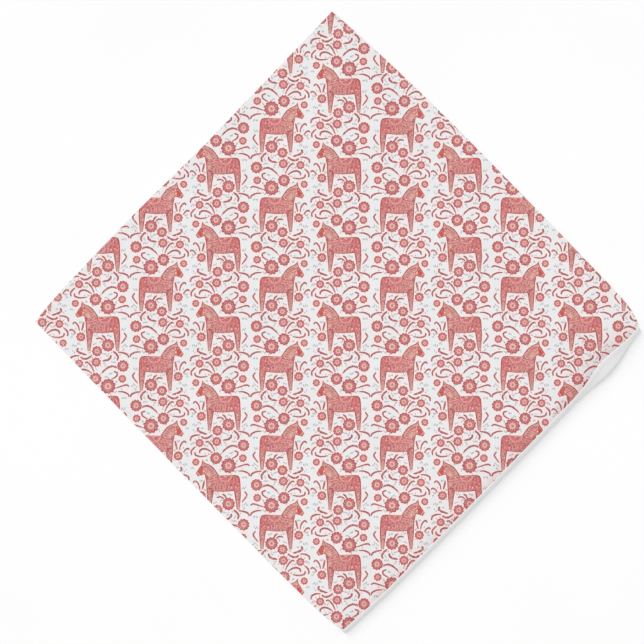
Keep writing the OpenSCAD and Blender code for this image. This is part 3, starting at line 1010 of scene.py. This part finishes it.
def weave(nodes, where):
    """Height of a plain weave from 0 to 1, and the slubs where threads run thicker."""
    u, v = nodes.parts(where)
    warp, weft = (nodes.math("ABSOLUTE", nodes.sine(run, 2 * THREAD_PITCH)) for run in (u, v))
    long_slub = nodes.noise(where, SLUB_WIDE, 1.5, (1, SLUB_LONG))
    cross_slub = nodes.noise(where, SLUB_WIDE, 1.5, (SLUB_LONG, 1))
    return nodes.times(warp, weft), nodes.times(nodes.plus(long_slub, cross_slub), 0.5)


def cloth_finish(nodes, fine, slub, extra=0.0):
    """The weave's bump and roughness, and the soft sheen of cotton."""
    fine_share, smoothest, roughest = 0.22, 0.78, 0.92
    height = nodes.plus(nodes.plus(nodes.times(fine, fine_share), slub), extra)
    nodes.put("Normal", nodes.bump(height, WEAVE_HEIGHT * MM))
    nodes.put("Roughness", nodes.ramp(slub, 0.35, 0.65, smoothest, roughest))
    nodes.put("Sheen Weight", 0.08)
    nodes.put("Sheen Roughness", 0.5)
    nodes.put("Specular IOR Level", 0.15)


def brushwork(nodes, colour, mottled, slub, where, repeat):
    """The print's colour, uneven inside the painted areas and the same in each repeat."""
    grain, patch = nodes.noise(repeat, GRAIN, 2.0), nodes.noise(repeat, MOTTLE, 1.0)
    deep = nodes.times(nodes.ramp(grain, 0.42, 0.30, 0.0, 0.75), mottled)
    pale = nodes.times(nodes.ramp(grain, 0.58, 0.70, 0.0, 0.75), mottled)
    colour = nodes.mix(pale, nodes.mix(deep, colour, ink(DEEP_INK)), ink(PALE_INK))
    shade = nodes.plus(1.0, nodes.times(nodes.ramp(patch, 0.3, 0.7, -0.12, 0.12), mottled))
    # Ink lies a little thinner where a thread runs thicker
    shade = nodes.times(shade, nodes.ramp(slub, 0.3, 0.7, 0.975, 1.025))
    shade = nodes.times(shade, nodes.ramp(nodes.noise(where, DRIFT, 2.0), 0.3, 0.7, 0.988, 1.01))
    return nodes.mix(1.0, colour, nodes.vector(shade, shade, shade), "MULTIPLY")


def puckers(nodes):
    """Height of the small puckers along the stitch row."""
    distance, run = nodes.parts(nodes.uv("hem"))
    off = nodes.math("DIVIDE", nodes.math("SUBTRACT", distance, STITCH_IN * MM), PUCKER_WIDE * MM)
    close = nodes.math("EXPONENT", nodes.times(nodes.times(off, off), -1.0))
    drift = nodes.noise(nodes.vector(run, 0.0), PUCKER_DRIFT, 1.0)
    beat_share, drift_share, height = 0.5, 3.0, 0.8
    beat = nodes.times(nodes.sine(run, STITCH_PITCH), beat_share)
    pull = nodes.plus(beat, nodes.times(drift, drift_share))
    return nodes.times(nodes.times(close, pull), height)


def printed_material():
    nodes = Nodes("printed_cotton")
    where, repeat = nodes.uv("cloth"), nodes.uv("print")
    colour, mottled = nodes.attribute("ink")
    fine, slub = weave(nodes, where)
    nodes.put("Base Color", brushwork(nodes, colour, mottled, slub, where, repeat))
    cloth_finish(nodes, fine, slub, puckers(nodes))
    return nodes.material


def plain_material(name, shown):
    slub_tone = 0.03
    nodes = Nodes(name)
    fine, slub = weave(nodes, nodes.uv("cloth"))
    low, high = (tuple(c * k for c in ink(shown)[:3]) + (1.0,) for k in (1 - slub_tone, 1 + slub_tone))
    nodes.put("Base Color", nodes.mix(nodes.ramp(slub, 0.3, 0.7, 0.0, 1.0), low, high))
    cloth_finish(nodes, fine, slub)
    return nodes.material


def thread_material():
    nodes = Nodes("sewing_thread")
    twist = nodes.sine(nodes.plus(*nodes.parts(nodes.uv("cloth"))), TWIST_PITCH)
    # Painted shade and highlight: the thread is painted darker in the grooves of its twist and paler on its
    # crests, following the bump
    dark, pale = ink((236, 236, 235)), ink((250, 250, 248))
    nodes.put("Base Color", nodes.mix(nodes.ramp(twist, -1.0, 1.0, 0.0, 1.0), dark, pale))
    nodes.put("Normal", nodes.bump(twist, TWIST_HEIGHT * MM))
    nodes.put("Roughness", 0.55)
    nodes.put("Sheen Weight", 0.15)
    return nodes.material


def floor_material():
    nodes = Nodes("pale_floor")
    where = nodes.new("TexCoord").outputs["Object"]
    dark, pale, patches = (0.905, 0.905, 0.905, 1), (0.915, 0.915, 0.915, 1), 300
    tone = nodes.ramp(nodes.noise(where, patches, 2.0), 0.3, 0.7, 0.0, 1.0)
    nodes.put("Base Color", nodes.mix(tone, dark, pale))
    nodes.put("Roughness", 0.9)
    nodes.put("Specular IOR Level", 0.0)
    return nodes.material


# -------------------------------------------------------------- assembly
face, back = build_face(), build_back()
hems = [build_hem(side) for side in SIDES]
stitches = [build_stitches(side, kind) for side in SIDES for kind in ("needle", "bobbin")]

BACK_SHOWN, HEM_SHOWN = (246, 246, 246), (247, 247, 247)
face.data.materials.append(printed_material())
back.data.materials.append(plain_material("cotton_back", BACK_SHOWN))
hem_finish = plain_material("hem_cotton", HEM_SHOWN)
for hem in hems:
    hem.data.materials.append(hem_finish)
thread_finish = thread_material()
for row in stitches:
    row.data.materials.append(thread_finish)

# -------------------------------------------------- floor, light, camera
FLOOR_SIZE, FLOOR_DROP = 80.0, 0.0002
floor_mesh = bpy.data.meshes.new("floor")
half = FLOOR_SIZE / 2
floor_corners = [(-half, -half, 0), (half, -half, 0), (half, half, 0), (-half, half, 0)]
floor_mesh.from_pydata(floor_corners, [], [(0, 1, 2, 3)])
floor = bpy.data.objects.new("floor", floor_mesh)
floor.location.z = frame_low[2] - FLOOR_DROP
floor_mesh.materials.append(floor_material())
bpy.context.scene.collection.objects.link(floor)

scene = bpy.context.scene
# Strength of the even light and of the soft key light, and the key's height, bearing and spread
SKY_LEVEL, KEY_LEVEL, KEY_HEIGHT, KEY_FROM, KEY_SPREAD = 0.78, 1.30, 48, 135, 50
world = bpy.data.worlds.new("studio")
world.use_nodes = True
sky = world.node_tree.nodes["Background"].inputs
sky["Color"].default_value = (1, 1, 1, 1)
sky["Strength"].default_value = SKY_LEVEL
scene.world = world
key = bpy.data.objects.new("key", bpy.data.lights.new("key", "SUN"))
key.data.energy = KEY_LEVEL
key.data.angle = math.radians(KEY_SPREAD)
height, bearing = math.radians(KEY_HEIGHT), math.radians(KEY_FROM)
level_part = math.cos(height)
to_key = Vector((level_part * math.cos(bearing), level_part * math.sin(bearing), math.sin(height)))
key.rotation_mode = "QUATERNION"
key.rotation_quaternion = to_key.to_track_quat("Z", "Y")
scene.collection.objects.link(key)

# The camera looks straight down from high above, a little left of the middle
PICTURE_WIDE, LENS, SENSOR = 0.8179, 100, 36
CAMERA_X, CAMERA_Y = -0.0203, 0.0001
camera = bpy.data.objects.new("camera", bpy.data.cameras.new("camera"))
camera.data.lens, camera.data.sensor_width = LENS, SENSOR
camera.location = (CAMERA_X, CAMERA_Y, PICTURE_WIDE * LENS / SENSOR)
scene.collection.objects.link(camera)
scene.camera = camera
scene.view_settings.view_transform = "Standard"
